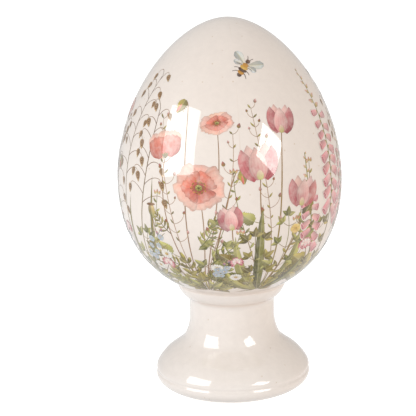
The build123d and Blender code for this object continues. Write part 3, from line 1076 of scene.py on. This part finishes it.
def laySpray(name, draw, angle, side):
    # draws a spray, lays its sheets round the egg, mirrored where side is -1, and makes them one piece
    spray.update({kind: [] for kind in sheetGrids})
    draw()
    kinds = [kind for kind in sheetGrids if spray[kind]]
    made = [sheetArrays(spray[kind], kind, angle, side) for kind in kinds]
    places = packShelves(np.concatenate([part[4] for part in made]))
    points, normals, tones, marks = (
        np.concatenate([part[k].reshape(-1, 3) for part in made]) for k in range(4))
    faces, corners, first, used = [], [], 0, 0
    for kind, part in zip(kinds, made):
        along, across = sheetGrids[kind]
        quads = gridQuads(along, across) if side > 0 else gridQuads(along, across)[:, ::-1]
        count = len(part[0])
        faces.append((first + np.arange(count)[:, None, None] * along * across + quads).reshape(-1, 4))
        spot = places[used:used + count, None, None]
        cell = np.broadcast_arrays(np.linspace(0, 1, across), np.linspace(0, 1, along)[:, None])
        cell = np.stack(cell, axis=-1).reshape(-1, 2)
        corners.append((spot[..., :2] + spot[..., 2:] * cell[quads]).reshape(-1, 2))
        first, used = first + count * along * across, used + count
    mesh = fillMesh(name, points * mm, [np.concatenate(faces)], np.concatenate(corners))
    tones = np.c_[np.clip(tones, 0, 1), np.ones(len(tones))]
    pigment = mesh.attributes.new("pigment", "FLOAT_COLOR", "POINT")
    pigment.data.foreach_set("color", tones.astype(np.float32).ravel())
    marking = mesh.attributes.new("marks", "FLOAT_VECTOR", "POINT")
    marking.data.foreach_set("vector", marks.astype(np.float32).ravel())
    mesh.normals_split_custom_set_from_vertices(normals)
    addPiece(name, mesh, printPaint)
    print(name, "laid:", used, "sheets,", len(mesh.polygons), "faces")


printLook = {  # scales are noise scales; pairs are the least and most of a tone or share
    "grainScale": 1100.0, "grain": (0.90, 1.07), "edgeStart": 0.84, "edgeTone": 0.74, "fold": (0.72, 1.16),
    "blotchScale": 330.0, "blotch": 0.55,
    "wobbleScale": 500.0, "wobble": 2.4, "streaks": 17.0, "streak": 0.42,
    "ribs": 8.0, "ribLean": 1.7, "ribWidth": 0.13, "rib": 0.34, "midribEdges": (0.05, 0.14), "midrib": 0.55,
    "veinTone": (196, 190, 132),
    "thinScale": 230.0, "thin": 0.15, "petalWash": 2.6, "ground": (241, 230, 219),
}


def printMaterial():
    # pigment that pools at the edges and thins in places, with petal streaks and leaf veins, under the coat
    look = printLook
    made, shader = newMaterial("print_paint")
    where = addNode("TexCoord").outputs["Object"]
    pigment = addNode("Attribute", attribute_name="pigment").outputs["Color"]
    marks = addNode("Attribute", attribute_name="marks").outputs["Vector"]
    parts = addNode("SeparateXYZ", {"Vector": marks})
    along, across, vein = (parts.outputs[axis] for axis in "XYZ")
    aside = maths("ABSOLUTE", across)
    petalOnly, leafOnly = (maths("COMPARE", vein, mark, 0.4) for mark in (1.0, 2.0))
    grain = spread(noise(where, look["grainScale"], 4.0, 0.65), 0.28, 0.72, *look["grain"])
    tone = blend(1.0, pigment, grain, "MULTIPLY")
    pool = spread(maths("MAXIMUM", aside, along), look["edgeStart"], 1.0, 1.0, look["edgeTone"])
    tone = blend(1.0, tone, pool, "MULTIPLY")
    fold = spread(across, -0.12, 0.12, *look["fold"])
    tone = blend(leafOnly, tone, blend(1.0, tone, fold, "MULTIPLY"))
    blotch = spread(noise(where, look["blotchScale"], 3.0), 0.50, 0.72, 0.0, look["blotch"])
    tone = blend(times(blotch, leafOnly), tone, blend(1.0, tone, tone, "OVERLAY"))
    wobble = times(noise(where, look["wobbleScale"], 2.0), look["wobble"])
    streak = maths("SINE", maths("ADD", times(across, look["streaks"]), wobble))
    streak = spread(streak, 0.2, 1.0, 0.0, look["streak"])
    streak = times(streak, spread(along, 0.05, 0.95, 1.0, 0.3))
    tone = blend(times(streak, petalOnly), tone, blend(1.0, tone, tone, "MULTIPLY"))
    steps = times(along, look["ribs"])
    ribs = maths("PINGPONG", maths("SUBTRACT", steps, times(aside, look["ribLean"])), 0.5)
    ribs = spread(ribs, 0.0, look["ribWidth"], look["rib"], 0.0)
    midrib = spread(aside, *look["midribEdges"], look["midrib"], 0.0)
    lines = times(maths("MAXIMUM", ribs, midrib), leafOnly)
    tone = blend(lines, tone, colour(look["veinTone"]))
    thin = spread(noise(where, look["thinScale"], 3.0), 0.40, 0.72, 0.0, look["thin"])
    wash = spread(petalOnly, 0.0, 1.0, 1.0, look["petalWash"])
    tone = blend(times(thin, wash), tone, colour(look["ground"]))
    connect(tone, shader.inputs["Base Color"])
    glazeFinish(shader, where)
    return made


printPaint = printMaterial()
sprayPlan = (  # piece, drawing, degrees round the egg from the front, and -1 for a mirrored one
    ("print_grass", grassSpray, -61, 1), ("print_poppies", poppySpray, -19, 1),
    ("print_tulips", tulipSpray, 21, 1), ("print_foxgloves", foxgloveSpray, 61, 1),
    ("print_grass_back", grassSpray, 101, -1),
    ("print_poppies_back", poppySpray, 141, -1), ("print_tulips_back", tulipSpray, 181, -1),
    ("print_foxgloves_back", foxgloveSpray, 221, -1), ("print_poppies_side", poppySpray, 260, 1),
    ("print_bee", beeSpray, 13, 1),
)
for plan in sprayPlan:
    laySpray(*plan)


# Stage: pale floor, white surroundings, two soft boxes and the camera

floorLook = {
    "radius": 9.0, "level": -0.0004, "rings": 6, "around": 48,
    "paper": (222, 221, 220), "grainScale": 6.0, "grain": (0.985, 1.0),
    "glow": 0.72, "glowColour": (255, 255, 254), "roughness": 0.9, "specular": 0.2,
}


def floorMesh():
    # disc of rings about a middle point, just under the foot
    count, around = floorLook["rings"], floorLook["around"]
    radii = floorLook["radius"] * np.linspace(0, 1, count)[1:]
    points = ringPoints(np.c_[radii, np.full(count - 1, floorLook["level"])], around)
    row, col = np.arange(count - 2)[:, None], np.arange(around)
    quads = ringQuads(row + 1, row, around)
    tris = np.c_[np.full(around, len(points)), col, (col + 1) % around]
    return fillMesh("floor", np.vstack([points, (0, 0, floorLook["level"])]), [tris, quads])


floorPaper, shader = newMaterial("floor_paper")
where = addNode("TexCoord").outputs["Object"]
tone = spread(noise(where, floorLook["grainScale"], 3.0), 0.3, 0.7, *floorLook["grain"])
paper = blend(1.0, colour(floorLook["paper"]), tone, "MULTIPLY")
connect(paper, shader.inputs["Base Color"])
shader.inputs["Emission Color"].default_value = colour(floorLook["glowColour"])
shader.inputs["Emission Strength"].default_value = floorLook["glow"]
shader.inputs["Roughness"].default_value = floorLook["roughness"]
shader.inputs["Specular IOR Level"].default_value = floorLook["specular"]
floor = addPiece("floor", floorMesh(), floorPaper, body=None)
floor.visible_diffuse = False  # the floor shows white without lighting the egg from below
floor.visible_glossy = False

skyLook = {  # strengths straight below, low, level and overhead; the sky warms towards +X
    "under": 0.62, "low": 0.98, "level": 0.64, "high": 0.59,
    "underEdge": -0.6, "lowEdge": -0.35, "highEdge": 0.9,
    "coolTint": (0.998, 0.998, 1.0, 1.0), "warmTint": (1.0, 0.90, 0.815, 1.0),
    "coolEnd": 0.05, "warmEnd": 0.9,
}
world = bpy.data.worlds.new("studio")
bpy.context.scene.world = world
startTree(world)
direction = addNode("TexCoord").outputs["Generated"]
axes = addNode("SeparateXYZ", {"Vector": direction})
rise, sideways = axes.outputs["Z"], axes.outputs["X"]
upward = spread(rise, 0.0, skyLook["highEdge"], skyLook["level"], skyLook["high"])
downward = spread(rise, skyLook["lowEdge"], 0.0, skyLook["low"] - skyLook["level"], 0.0)
beneath = spread(rise, -1.0, skyLook["underEdge"], skyLook["under"] - skyLook["low"], 0.0)
strength = maths("ADD", maths("ADD", upward, downward), beneath)
warmth = spread(sideways, skyLook["coolEnd"], skyLook["warmEnd"])
tint = blend(warmth, skyLook["coolTint"], skyLook["warmTint"])
background = addNode("Background", {"Color": tint, "Strength": strength})
addNode("OutputWorld", {"Surface": background.outputs["Background"]})

boxLook = {"distance": 1.25, "glossAhead": 0.01, "target": (0, 0, 0.14), "colour": (1.0, 0.985, 0.965)}
boxLights = {
    "key": {"azimuth": -56.0, "elevation": 20.5, "roll": 9.9, "size": (0.81, 0.83),
            "power": 6.0, "gloss": 5.5},
    "fill": {"azimuth": 43.2, "elevation": 17.5, "roll": -39.7, "size": (0.47, 0.47),
             "power": 3.3, "gloss": 2.0},
}


def aimed(spot, target, roll):
    # a lamp or camera at a spot that looks at a target, rolled about its line of sight
    look = (Vector(target) - Vector(spot)).to_track_quat("-Z", "Y").to_matrix().to_4x4()
    return Matrix.Translation(spot) @ look @ Matrix.Rotation(math.radians(roll), 4, "Z")


target = Vector(boxLook["target"])
for name, box in boxLights.items():
    side, up = math.radians(box["azimuth"]), math.radians(box["elevation"])
    away = Vector((math.sin(side) * math.cos(up), -math.cos(side) * math.cos(up), math.sin(up)))
    # the second lamp, just in front of the first, only adds to the reflection
    for ending, power, ahead in (("", box["power"], 0.0), ("_gloss", box["gloss"], boxLook["glossAhead"])):
        lamp = bpy.data.lights.new(name + ending, "AREA")
        lamp.shape = "RECTANGLE"
        lamp.size, lamp.size_y = box["size"]
        lamp.energy = power
        lamp.color = boxLook["colour"]
        holder = bpy.data.objects.new(name + ending, lamp)
        bpy.context.scene.collection.objects.link(holder)
        holder.matrix_world = aimed(target + away * (boxLook["distance"] - ahead), target, box["roll"])
        holder.visible_camera = False
        holder.visible_diffuse = not ending

cameraView = {  # metres, and pixels of the picture's frame
    "place": (0.0, -1.014, 0.37135), "aim": (0.0, 0.0, 0.11717), "roll": -1.0,
    "focal": 1632.28, "frame": 416, "axisRight": 22.22, "sensor": 36.0, "clip": (0.05, 60.0),
}
lens = bpy.data.cameras.new("photo_view")
lens.sensor_width = cameraView["sensor"]
lens.lens = cameraView["focal"] / cameraView["frame"] * lens.sensor_width
lens.shift_x = -cameraView["axisRight"] / cameraView["frame"]
lens.clip_start, lens.clip_end = cameraView["clip"]
camera = bpy.data.objects.new("photo_view", lens)
bpy.context.scene.collection.objects.link(camera)
camera.matrix_world = aimed(cameraView["place"], cameraView["aim"], cameraView["roll"])
bpy.context.scene.camera = camera
bpy.context.scene.view_settings.view_transform = "Standard"
print("stage set")
